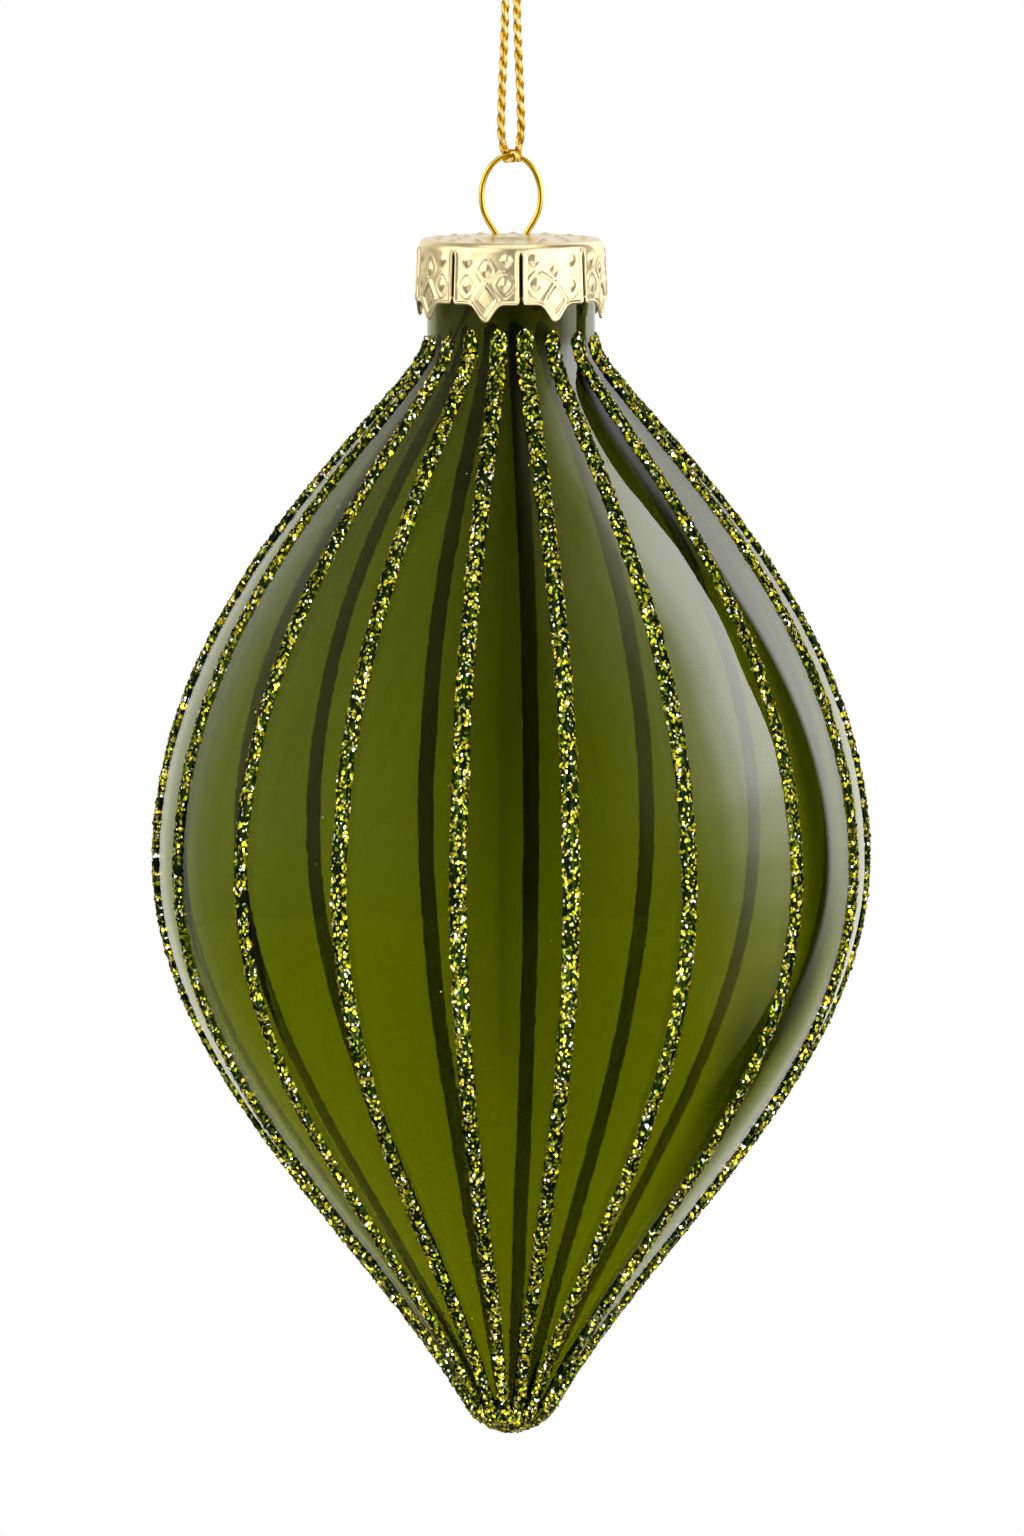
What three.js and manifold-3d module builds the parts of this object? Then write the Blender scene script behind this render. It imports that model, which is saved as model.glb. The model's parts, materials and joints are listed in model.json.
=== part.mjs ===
// A teardrop glass bauble: blown glass with raised glitter lines, a stamped cap with
// eight petals, a sprung wire hanger and a loop of thin cord. Millimetres, +Z up.
// The origin is where a hook bears in the cord's loop, and the object hangs below it.
// An azimuth is in degrees from the front, -Y, and grows towards +X.
import * as THREE from 'three';
import { mergeVertices } from 'three/addons/utils/BufferGeometryUtils.js';
import Module from 'manifold-3d';

// Driving dimensions

const touchGap = 0.3; // left between two pieces that rest on each other
const capDepth = 39; // from the hook down to the cap's flat top

const glassDiameter = 80;
const glassHeight = 134.2; // from the rim of the neck to the tip
const glassWall = 0.9;
const neckDiameter = 18.9;
const neckLength = 10.9; // straight part, from the rim
const bellyDepth = 69.3; // from the rim down to the widest place
const tipRadius = 5.5;
const tipTaper = 30; // degrees between the axis and the side where the tip begins
const flareHandle = 5.4; // how far each curve of the outline stays on its tangent
const upperBellyHandle = 31.5;
const lowerBellyHandle = 24;
const taperHandle = 22.2;
const outlineSteps = [1, 11, 10, 4]; // neck, upper curve, lower curve and tip
const glassSegments = 40;
const tipSegments = 24;
const capSegments = 48;

const lineHeight = 0.75; // from the glass to the crest of a glitter line
const lineWidth = 1.9; // at the belly
const lineWidthTop = 1.7;
const lineWidthTip = 1.15;
const lineEndRadius = 5.6; // the lines stop where the glass has narrowed to this
const lineTopDepth = 9.5; // from the cap's flat top down to where the highest line begins
const lineTopSpread = 1.5; // how much lower the lowest line begins
const lineSteps = 20;

const capSheet = 0.35;
const capHeight = 8.9; // from the flat top to the petals' points
const petalCount = 8;
const firstSlit = 6.5; // azimuth of the slit nearest the front
const slitWidth = 0.35;
const pointHeight = 2;
const pointBase = 3.25;
const pointTip = 0.6;
const skirtGap = 0.8; // between the neck and the inside of the cap
const skirtFlare = 0.15; // how far the skirt leans out at its lower edge
const capShoulder = 1;
const bossRadius = 3.3; // the raised middle of the cap's top
const bossHeight = 0.35;
const bossSlope = 0.4;

const wireDiameter = 0.64;
const ringWidth = 6.64; // the ring's sizes are measured at the middle of its wire
const ringHeight = 9.08;
const ringLift = 4.79; // from the cap's flat top up to the ring's middle
const ringStart = -34; // degrees from +X to where the ring's oval meets each straight
const legLength = 15.6; // from the cap's flat top down to the legs' ends
const legGap = 0.35; // between a leg and the bore of the neck
const holeGap = 0.3; // round the wire in the cap's holes

const cordDiameter = 0.9;
const hitchLength = 1.9;
const hitchWall = 0.4;
const hitchPlay = 0.15; // between the hitch and the ring inside it
const knotDiameter = 3;
const knotHeight = 2.8;
const tailLength = 3;

// Azimuth of each glitter line, and its share of the spread by which the tops differ
const glitterLines = [
  [-86, 1], [-68.6, 0.8], [-48.5, 0.7], [-28.4, 0.2], [-8.4, 0], [9.6, 0],
  [29.5, 0.2], [52.5, 0.3], [73.5, 0.9], [90, 0.7], [112, 0.5], [134.8, 0.3],
  [156.6, 0.2], [176.6, 0.1], [194.5, 0.3], [215.4, 0.5], [232.6, 0.7], [253.5, 0.9],
];

// One strand of the cord, from the hitch up round the hook to the knot: x and z
const strandRoute = [
  [0.92, -28.3], [1.08, -27.3], [1.12, -25.8], [1.06, -23.8], [0.98, -21.6], [0.88, -19.4],
  [0.79, -17.2], [0.71, -15], [0.65, -12.8], [0.61, -10.6], [0.6, -8.6], [0.64, -6.8],
  [0.93, -5.1], [1.55, -3.9], [2.15, -3.15], [2.44, -2.1], [2.24, -1.05], [1.7, -0.25],
  [1.08, 0.75], [0.66, 2], [0.6, 3.1],
];

const wireRadius = wireDiameter / 2;
const cordRadius = cordDiameter / 2;
const neckRadius = neckDiameter / 2;
const boreRadius = neckRadius - glassWall;
const capTop = -capDepth;
const rimHeight = capTop - capSheet - touchGap;
const belly = rimHeight - bellyDepth;
const ringMiddle = capTop + ringLift;
const ringTop = ringMiddle + ringHeight / 2;

const wasm = await Module();
wasm.setup();

const bauble = new THREE.Group();

const materials = {
  glass: { color: 0x3f5a10, roughness: 0.06, metalness: 0 },
  glitter: { color: 0x8a9a28, roughness: 0.45, metalness: 0.5 },
  cap: { color: 0xe3d3a4, roughness: 0.3, metalness: 1 },
  wire: { color: 0xc99a2e, roughness: 0.2, metalness: 1 },
  cord: { color: 0xc99a35, roughness: 0.6, metalness: 0.3 },
};

function addPiece(name, geometry, material) {
  const piece = new THREE.Mesh(geometry, new THREE.MeshStandardMaterial(materials[material]));
  piece.name = name;
  bauble.add(piece);
  return piece;
}

// Turns a piece that was made facing +X to face an azimuth
function turnToAzimuth(azimuth) {
  return THREE.MathUtils.degToRad(azimuth - 90);
}

function toSolid(geometry) {
  const bare = geometry.clone();
  bare.deleteAttribute('normal');
  bare.deleteAttribute('uv');
  const merged = mergeVertices(bare, 1e-4);
  const corners = merged.index.array;
  const triangles = [];
  for (let i = 0; i < corners.length; i += 3) {
    const [a, b, c] = corners.slice(i, i + 3);
    if (a !== b && b !== c && c !== a) triangles.push(a, b, c);
  }
  return new wasm.Manifold(new wasm.Mesh({
    numProp: 3,
    vertProperties: new Float32Array(merged.getAttribute('position').array),
    triVerts: new Uint32Array(triangles),
  }));
}

function toGeometry(solid) {
  const mesh = solid.getMesh();
  const geometry = new THREE.BufferGeometry();
  geometry.setAttribute('position', new THREE.BufferAttribute(mesh.vertProperties, 3));
  geometry.setIndex(new THREE.BufferAttribute(mesh.triVerts, 1));
  geometry.computeVertexNormals();
  return geometry;
}

// A solid of revolution about Z from points whose x is the radius and y the height
function turned(points, segments) {
  const geometry = new THREE.LatheGeometry(points, segments);
  geometry.rotateX(Math.PI / 2);
  return geometry;
}

function tube(path, radius, sides, steps) {
  const section = new THREE.Shape();
  section.absarc(0, 0, radius, 0, 2 * Math.PI, false);
  return new THREE.ExtrudeGeometry(section, {
    extrudePath: path,
    steps,
    curveSegments: sides / 2,
    bevelEnabled: false,
  });
}

// The glass's outline, from the rim of the neck to the tip
function makeOutline() {
  const bellyRadius = glassDiameter / 2;
  const flare = rimHeight - neckLength;
  const tip = rimHeight - glassHeight;
  const taper = THREE.MathUtils.degToRad(tipTaper);
  const arcMiddle = tip + tipRadius;
  const arcStart = new THREE.Vector2(
    tipRadius * Math.cos(taper),
    arcMiddle - tipRadius * Math.sin(taper),
  );
  const taperTurn = new THREE.Vector2(
    arcStart.x + taperHandle * Math.sin(taper),
    arcStart.y + taperHandle * Math.cos(taper),
  );
  const outline = new THREE.Path();
  outline.moveTo(neckRadius, rimHeight);
  outline.lineTo(neckRadius, flare);
  outline.bezierCurveTo(
    neckRadius, flare - flareHandle,
    bellyRadius, belly + upperBellyHandle,
    bellyRadius, belly,
  );
  outline.bezierCurveTo(
    bellyRadius, belly - lowerBellyHandle,
    taperTurn.x, taperTurn.y,
    arcStart.x, arcStart.y,
  );
  outline.absarc(0, arcMiddle, tipRadius, -taper, -Math.PI / 2, true);
  return outline;
}

const outline = makeOutline();

// The outline's point at a share of its length, moved out along its normal
function outlinePoint(curve, share, distance) {
  const point = curve.getPointAt(share);
  if (point.x < 1e-6) return new THREE.Vector2(0, point.y - distance);
  const tangent = curve.getTangentAt(share);
  return new THREE.Vector2(point.x - tangent.y * distance, point.y + tangent.x * distance);
}

function offsetOutline(distance) {
  const points = [outlinePoint(outline.curves[0], 0, distance)];
  outline.curves.forEach((curve, k) => {
    for (let i = 1; i <= outlineSteps[k]; i += 1) {
      points.push(outlinePoint(curve, i / outlineSteps[k], distance));
    }
  });
  return points;
}

// Where along the outline a test of its points first holds
function outlineShareWhere(test) {
  let low = 0;
  let high = 1;
  for (let i = 0; i < 40; i += 1) {
    const middle = (low + high) / 2;
    if (test(outline.getPointAt(middle))) high = middle;
    else low = middle;
  }
  return high;
}

function makeGlass() {
  const outside = offsetOutline(0).reverse();
  addPiece('glass_body', turned([...outside, ...offsetOutline(-glassWall)], glassSegments), 'glass');
}

const lineEndShare = outlineShareWhere((point) => (
  point.y < belly && point.x < lineEndRadius
));
const lineEndHeight = outline.getPointAt(lineEndShare).y;

// A glitter line's width at a height: it narrows from the belly to both ends
function widthAt(height, top) {
  const isAbove = height > belly;
  const end = isAbove ? top : lineEndHeight;
  const endWidth = isAbove ? lineWidthTop : lineWidthTip;
  const share = THREE.MathUtils.clamp((height - belly) / (end - belly), 0, 1);
  return THREE.MathUtils.lerp(lineWidth, endWidth, share * share);
}

function makeLine(name, azimuth, spreadShare) {
  const top = capTop - lineTopDepth - lineTopSpread * spreadShare;
  const topShare = outlineShareWhere((point) => point.y < top);
  const points = [];
  for (let i = 0; i <= 30; i += 1) {
    const share = THREE.MathUtils.lerp(lineEndShare, topShare, i / 30);
    const point = outline.getPointAt(share);
    points.push(new THREE.Vector3(point.x, 0, point.y));
  }
  const section = new THREE.Shape();
  for (let i = 0; i <= 4; i += 1) {
    const angle = (i * Math.PI) / 4;
    const crest = (lineHeight - touchGap) * Math.sin(angle);
    const corner = [Math.cos(angle) / 2, touchGap + crest];
    if (i === 0) section.moveTo(...corner);
    else section.lineTo(...corner);
  }
  const geometry = new THREE.ExtrudeGeometry(section, {
    extrudePath: new THREE.CatmullRomCurve3(points),
    steps: lineSteps,
    bevelEnabled: false,
  });
  const position = geometry.getAttribute('position');
  for (let i = 0; i < position.count; i += 1) {
    position.setY(i, position.getY(i) * widthAt(position.getZ(i), top));
  }
  const line = addPiece(name, geometry, 'glitter');
  line.rotation.z = turnToAzimuth(azimuth);
}

function makeGlitterLines() {
  glitterLines.forEach(([azimuth, spreadShare], k) => {
    const number = String(k + 1).padStart(2, '0');
    makeLine(`glitter_line_${number}`, azimuth, spreadShare);
  });
}

// The glitter's cover over the tip begins just below the ends of the lines
function makeGlitterTip() {
  const startShare = lineEndShare + touchGap / outline.getLength();
  const steps = 5;
  const inside = [];
  const outside = [];
  for (let i = 0; i <= steps; i += 1) {
    const share = THREE.MathUtils.lerp(startShare, 1, i / steps);
    inside.push(outlinePoint(outline, share, touchGap));
    outside.push(outlinePoint(outline, share, lineHeight));
  }
  const points = [...outside.reverse(), ...inside];
  addPiece('glitter_tip', turned(points, tipSegments), 'glitter');
}

const capInside = neckRadius + skirtGap;
const capOutside = capInside + capSheet;
const pointsHeight = capTop - capHeight;

function capProfile() {
  const profile = new THREE.Path();
  const boss = capTop + bossHeight;
  const underside = capTop - capSheet;
  const innerShoulder = capShoulder - capSheet;
  profile.moveTo(0, boss);
  profile.lineTo(bossRadius - bossSlope, boss);
  profile.lineTo(bossRadius, capTop);
  profile.lineTo(capOutside - capShoulder, capTop);
  profile.absarc(
    capOutside - capShoulder, capTop - capShoulder, capShoulder, Math.PI / 2, 0, true,
  );
  profile.lineTo(capOutside + skirtFlare, pointsHeight);
  profile.lineTo(capInside + skirtFlare, pointsHeight);
  profile.lineTo(capInside, capTop - capShoulder);
  profile.absarc(
    capInside - innerShoulder, capTop - capShoulder, innerShoulder, 0, Math.PI / 2, false,
  );
  profile.lineTo(bossRadius, underside);
  profile.lineTo(bossRadius - bossSlope, boss - capSheet);
  profile.lineTo(0, boss - capSheet);
  return profile.getPoints(2).reverse();
}

// Cuts the skirt right through, in the shape of an outline whose x runs round the cap
function skirtCutter(shape, azimuth) {
  const innerReach = 1.6; // past the sheet on the inside, where the wall curves away
  const outerReach = 1;
  const start = capInside - innerReach;
  const geometry = new THREE.ExtrudeGeometry(shape, {
    depth: capOutside + outerReach - start,
    bevelEnabled: false,
  });
  geometry.rotateX(Math.PI / 2);
  geometry.rotateZ(Math.PI / 2);
  geometry.translate(start, 0, 0);
  geometry.rotateZ(turnToAzimuth(azimuth));
  return toSolid(geometry);
}

function polygon(corners) {
  return new THREE.Shape(corners.map(([x, y]) => new THREE.Vector2(x, y)));
}

// The part of a petal's lower edge between two points, with the slit above it
function petalGapShape() {
  const halfPetal = Math.PI / petalCount;
  const chord = (edge) => capOutside * Math.sin(halfPetal - edge / (2 * capOutside));
  const edgeHeight = pointsHeight + pointHeight;
  const below = pointsHeight - 1;
  const lower = chord(pointTip);
  const upper = chord(pointBase);
  const half = slitWidth / 2;
  return polygon([
    [-lower, below], [lower, below], [lower, pointsHeight], [upper, edgeHeight],
    [half, edgeHeight], [half, capTop - capShoulder], [-half, capTop - capShoulder],
    [-half, edgeHeight], [-upper, edgeHeight], [-lower, pointsHeight],
  ]);
}

// The wire runs through the cap's top at a slant, so each hole is a slot along X
const throatOffset = 1.2; // from the axis to the wire just under the cap's top
const entryOffset = 1.64; // from the axis to the wire where it meets the boss

function makeCap() {
  let cap = toSolid(turned(capProfile(), capSegments));
  const gapShape = petalGapShape();
  for (let k = 0; k < petalCount; k += 1) {
    cap = cap.subtract(skirtCutter(gapShape, firstSlit + (k * 360) / petalCount));
  }
  const holeRadius = wireRadius + holeGap;
  const slant = 0.1; // the slanted wire's section is this much longer along X
  for (const side of [-1, 1]) {
    const hole = new THREE.Shape();
    const near = throatOffset - slant;
    const far = entryOffset + slant;
    hole.absarc(far, 0, holeRadius, -Math.PI / 2, Math.PI / 2, false);
    hole.absarc(near, 0, holeRadius, Math.PI / 2, (3 * Math.PI) / 2, false);
    const depth = 4 * capSheet + bossHeight;
    const geometry = new THREE.ExtrudeGeometry(hole, {
      depth,
      curveSegments: 5,
      bevelEnabled: false,
    });
    geometry.translate(0, 0, capTop - 2 * capSheet);
    if (side < 0) geometry.rotateZ(Math.PI);
    cap = cap.subtract(toSolid(geometry));
  }
  addPiece('cap', toGeometry(cap), 'cap');
}

// One wire: from the end of one leg up through the cap, round the ring and down again
function makeHanger() {
  const legReach = boreRadius - legGap - wireRadius;
  const toe = [legReach - 0.1, -legLength + 1.8];
  const hip = [throatOffset + 0.25, -1.5];
  const alongLeg = (share) => toe.map((value, i) => value + (hip[i] - value) * share);
  const right = [
    [legReach - 0.7, -legLength], [legReach - 0.05, -legLength + 0.75], toe,
    alongLeg(1 / 3), alongLeg(2 / 3), hip, [throatOffset, -0.55],
    [throatOffset + 0.14, -0.05], [entryOffset, bossHeight + 0.04],
  ];
  const points = right.map(([x, z]) => new THREE.Vector3(x, 0, capTop + z));
  const ringSteps = 12;
  for (let i = 0; i <= ringSteps; i += 1) {
    const turn = THREE.MathUtils.degToRad(ringStart + ((180 - 2 * ringStart) * i) / ringSteps);
    points.push(new THREE.Vector3(
      (ringWidth / 2) * Math.cos(turn),
      0,
      ringMiddle + (ringHeight / 2) * Math.sin(turn),
    ));
  }
  for (const [x, z] of right.toReversed()) points.push(new THREE.Vector3(-x, 0, capTop + z));
  const path = new THREE.CatmullRomCurve3(points, false, 'centripetal');
  addPiece('hanger_wire', tube(path, wireRadius, 8, 100), 'wire');
}

// The cord's hitch round the top of the ring, bored so that the bent wire turns in it
function makeHitch() {
  const half = hitchLength / 2;
  const droop = (ringHeight / 2) * (1 - Math.sqrt(1 - (hitchLength / ringWidth) ** 2));
  const bore = wireRadius + droop + hitchPlay;
  const outside = bore + hitchWall;
  const points = [
    [bore, -half], [outside - 0.15, -half], [outside, -half + 0.2],
    [outside, half - 0.2], [outside - 0.15, half], [bore, half], [bore, -half],
  ].map(([x, y]) => new THREE.Vector2(x, y));
  const geometry = new THREE.LatheGeometry(points, 20);
  geometry.rotateZ(Math.PI / 2);
  const hitch = addPiece('cord_hitch', geometry, 'cord');
  hitch.position.z = ringTop;
}

function makeCord() {
  for (const [name, side] of [['cord_strand_left', -1], ['cord_strand_right', 1]]) {
    const route = strandRoute.map(([x, z]) => new THREE.Vector3(side * x, 0, z));
    const path = new THREE.CatmullRomCurve3(route);
    addPiece(name, tube(path, cordRadius, 8, 22), 'cord');
  }
}

// The knot that joins the strands above the hook, with its two short tails
function makeKnot() {
  const [tailOffset, strandEnd] = strandRoute.at(-1);
  const base = strandEnd + touchGap;
  const top = base + knotHeight;
  const radius = knotDiameter / 2;
  const waist = 0.7 * radius;
  const profile = [
    [0, base], [waist, base], [radius, base + 0.3 * knotHeight],
    [radius, base + 0.7 * knotHeight], [waist, top], [0, top],
  ].map(([x, y]) => new THREE.Vector2(x, y));
  let knot = toSolid(turned(profile, 20));
  const root = 0.5; // how deep a tail starts inside the knot
  for (const side of [-1, 1]) {
    const tail = new THREE.CylinderGeometry(cordRadius, cordRadius, tailLength + root, 8);
    tail.rotateX(Math.PI / 2);
    tail.translate(side * tailOffset, 0, top + (tailLength - root) / 2);
    knot = knot.add(toSolid(tail));
  }
  addPiece('cord_knot', toGeometry(knot), 'cord');
}

makeGlass();
makeGlitterLines();
makeGlitterTip();
makeCap();
makeHanger();
makeHitch();
makeCord();
makeKnot();

export default bauble;
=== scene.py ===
import json
import math
import random

import bmesh
import bpy
from mathutils import Matrix, Vector, noise

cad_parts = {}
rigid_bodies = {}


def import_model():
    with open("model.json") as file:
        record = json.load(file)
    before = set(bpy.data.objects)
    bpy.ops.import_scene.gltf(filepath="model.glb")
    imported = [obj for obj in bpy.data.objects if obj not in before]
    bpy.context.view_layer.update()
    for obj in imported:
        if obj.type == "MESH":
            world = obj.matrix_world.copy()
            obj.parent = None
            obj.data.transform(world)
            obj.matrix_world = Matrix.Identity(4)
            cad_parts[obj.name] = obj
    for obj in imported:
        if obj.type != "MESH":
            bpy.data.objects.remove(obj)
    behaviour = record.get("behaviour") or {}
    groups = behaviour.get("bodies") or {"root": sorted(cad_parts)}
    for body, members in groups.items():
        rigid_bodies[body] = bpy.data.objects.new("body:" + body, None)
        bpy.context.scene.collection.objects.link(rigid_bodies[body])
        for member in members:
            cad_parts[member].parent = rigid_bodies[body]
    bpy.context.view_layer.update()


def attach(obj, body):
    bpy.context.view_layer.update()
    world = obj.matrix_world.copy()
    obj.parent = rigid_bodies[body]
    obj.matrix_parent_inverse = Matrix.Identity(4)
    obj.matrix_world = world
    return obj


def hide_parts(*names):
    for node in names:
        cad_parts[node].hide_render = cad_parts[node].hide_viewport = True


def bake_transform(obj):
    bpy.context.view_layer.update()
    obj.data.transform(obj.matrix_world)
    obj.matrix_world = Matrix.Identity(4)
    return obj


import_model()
scene = bpy.context.scene
mm = 0.001  # lengths are in millimetres, but in metres in the view, the studio and the materials


# Small helpers


def addNode(tree, kind, inputs=None, **settings):
    made = tree.nodes.new(kind)
    for name, value in settings.items():
        setattr(made, name, value)
    for socket, value in (inputs or {}).items():
        if isinstance(value, bpy.types.NodeSocket):
            tree.links.new(value, made.inputs[socket])
        else:
            made.inputs[socket].default_value = value
    return made


def ramp(tree, value, stops):
    made = addNode(tree, "ShaderNodeValToRGB", {0: value})
    points = made.color_ramp.elements
    while len(points) < len(stops):
        points.new(1)
    for point, (place, colour) in zip(points, stops):
        point.position = place
        point.color = (*colour, 1) if isinstance(colour, tuple) else (colour, colour, colour, 1)
    return made.outputs[0]


def mapped(tree, value, low, high, toLow=0.0, toHigh=1.0, **settings):
    return addNode(tree, "ShaderNodeMapRange", {
        "Value": value, "From Min": low, "From Max": high, "To Min": toLow, "To Max": toHigh,
    }, **settings).outputs[0]


def calculated(tree, operation, *values, **settings):
    made = addNode(tree, "ShaderNodeMath", dict(enumerate(values)), operation=operation, **settings)
    return made.outputs[0]


def mixed(tree, share, first, second, blending="MIX"):
    return addNode(tree, "ShaderNodeMix", {
        "Factor": share, "A": first, "B": second,
    }, data_type="RGBA", blend_type=blending).outputs[2]


def speckled(tree, place, scale, detail):
    made = addNode(tree, "ShaderNodeTexNoise", {"Vector": place, "Scale": scale, "Detail": detail})
    return made.outputs[0]


def seenRays(tree):
    # 1 for what the camera sees itself or through the glass
    path = addNode(tree, "ShaderNodeLightPath").outputs
    return calculated(tree, "MAXIMUM", path["Is Camera Ray"], path["Is Transmission Ray"])


def partsOf(tree, place):
    return addNode(tree, "ShaderNodeSeparateXYZ", {0: place}).outputs


def attribute(tree, name, output="Fac"):
    return addNode(tree, "ShaderNodeAttribute", attribute_name=name).outputs[output]


def turnShare(tree, parts):
    # Share of a turn round the vertical axis: 0.5 at the front, more to the right
    front = calculated(tree, "MULTIPLY", parts["Y"], -1.0)
    azimuth = calculated(tree, "ARCTAN2", parts["X"], front)
    return mapped(tree, azimuth, -math.pi, math.pi)


def newMaterial(name, **sockets):
    # A material, its nodes, its shader and the place on the piece
    material = bpy.data.materials.new(name)
    material.use_nodes = True
    tree = material.node_tree
    shader = tree.nodes["Principled BSDF"]
    for socket, value in sockets.items():
        shader.inputs[socket.replace("_", " ")].default_value = value
    place = addNode(tree, "ShaderNodeTexCoord").outputs["Object"]
    return material, tree, shader, place


def addGlow(tree, shader, colour, strength):
    light = addNode(tree, "ShaderNodeEmission", {"Color": colour, "Strength": strength}).outputs[0]
    return addNode(tree, "ShaderNodeAddShader", {0: shader, 1: light}).outputs[0]


def dress(tree, shader, colour, relief, strength, depth):
    # Gives a surface its colour and its fine relief
    bump = addNode(tree, "ShaderNodeBump", {"Height": relief, "Strength": strength, "Distance": depth})
    tree.links.new(colour, shader.inputs["Base Color"])
    tree.links.new(bump.outputs[0], shader.inputs["Normal"])


def newObject(name, bm, material):
    mesh = bpy.data.meshes.new(name)
    bm.to_mesh(mesh)
    bm.free()
    mesh.shade_smooth()
    mesh.materials.append(material)
    made = bpy.data.objects.new(name, mesh)
    scene.collection.objects.link(made)
    return made


def aimed(name, data, place, towards):
    # A camera or a lamp at a place, facing a direction
    made = bpy.data.objects.new(name, data)
    made.location = place
    made.rotation_mode = "QUATERNION"
    made.rotation_quaternion = towards.to_track_quat("-Z", "Y")
    scene.collection.objects.link(made)
    return made


def smoothPath(points, step):
    # A smooth curve through all the points
    points = [Vector(p) for p in points]
    ends = [points[0] * 2 - points[1]] + points + [points[-1] * 2 - points[-2]]
    path = []
    for a, b, c, d in zip(ends, ends[1:], ends[2:], ends[3:]):
        count = max(2, round((c - b).length / step))
        for i in range(count):
            t = i / count
            curve = 2 * b + (c - a) * t + (2 * a - 5 * b + 4 * c - d) * t * t
            path.append((curve + (3 * b - a - 3 * c + d) * t ** 3) / 2)
    path.append(points[-1])
    return path


def pathFrames(path):
    # A frame at each point, turned no more than the path itself turns
    frames, side = [], None
    for i, point in enumerate(path):
        along = (path[min(i + 1, len(path) - 1)] - path[max(i - 1, 0)]).normalized()
        if side is None:
            side = Vector((1, 0, 0)) if abs(along.x) < 0.9 else along.orthogonal()
        side = (side - along * side.dot(along)).normalized()
        frames.append((point, side, along.cross(side)))
    return frames


def closeTube(bm, vertices):
    # Joins a rolled grid's seam and closes both ends
    bmesh.ops.remove_doubles(bm, verts=vertices, dist=1e-8)
    bmesh.ops.holes_fill(bm, edges=[e for e in bm.edges if e.is_boundary], sides=0)
    bmesh.ops.recalc_face_normals(bm, faces=bm.faces)


def addTube(bm, path, sides, shape, layer=None):
    # A grid rolled up round the path; shape gives the radius and a shade at a share and an angle
    frames = pathFrames(path)
    steps = len(path) - 1
    made = bmesh.ops.create_grid(bm, x_segments=steps, y_segments=sides, size=0.5)
    for vertex in made["verts"]:
        i = round((vertex.co.x + 0.5) * steps)
        angle = 2 * math.pi * round((vertex.co.y + 0.5) * sides) / sides
        point, side, up = frames[i]
        radius, shade = shape(i / steps, angle)
        vertex.co = point + (side * math.cos(angle) + up * math.sin(angle)) * radius
        if layer:
            vertex[layer] = shade
    closeTube(bm, made["verts"])


def spinRound(bm, profile, steps, merge):
    # Turns a profile of radius and height, in millimetres, once round the bauble's axis
    chain = [bm.verts.new((p.x * mm, 0, p.y * mm)) for p in profile]
    edges = [bm.edges.new(pair) for pair in zip(chain, chain[1:])]
    bmesh.ops.spin(
        bm, geom=chain + edges, axis=(0, 0, 1), angle=2 * math.pi, steps=steps, use_merge=True,
    )
    bmesh.ops.remove_doubles(bm, verts=bm.verts, dist=merge)


# Camera

view = {
    "target": (0.1 * mm, 0, -98.79 * mm),
    "distance": 1.6,
    "elevation": 5.6,
    "lens": 332.6,
}


def makeCamera():
    data = bpy.data.cameras.new("camera")
    data.lens = view["lens"]
    data.clip_start = 0.05
    data.clip_end = 20
    tilt = math.radians(view["elevation"])
    back = Vector((0, -math.cos(tilt), math.sin(tilt)))
    place = Vector(view["target"]) + back * view["distance"]
    scene.camera = aimed("camera", data, place, -back)


# Cord: two taut strands of twisted thread, a hitch on the ring and a knot above the hook

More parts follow.
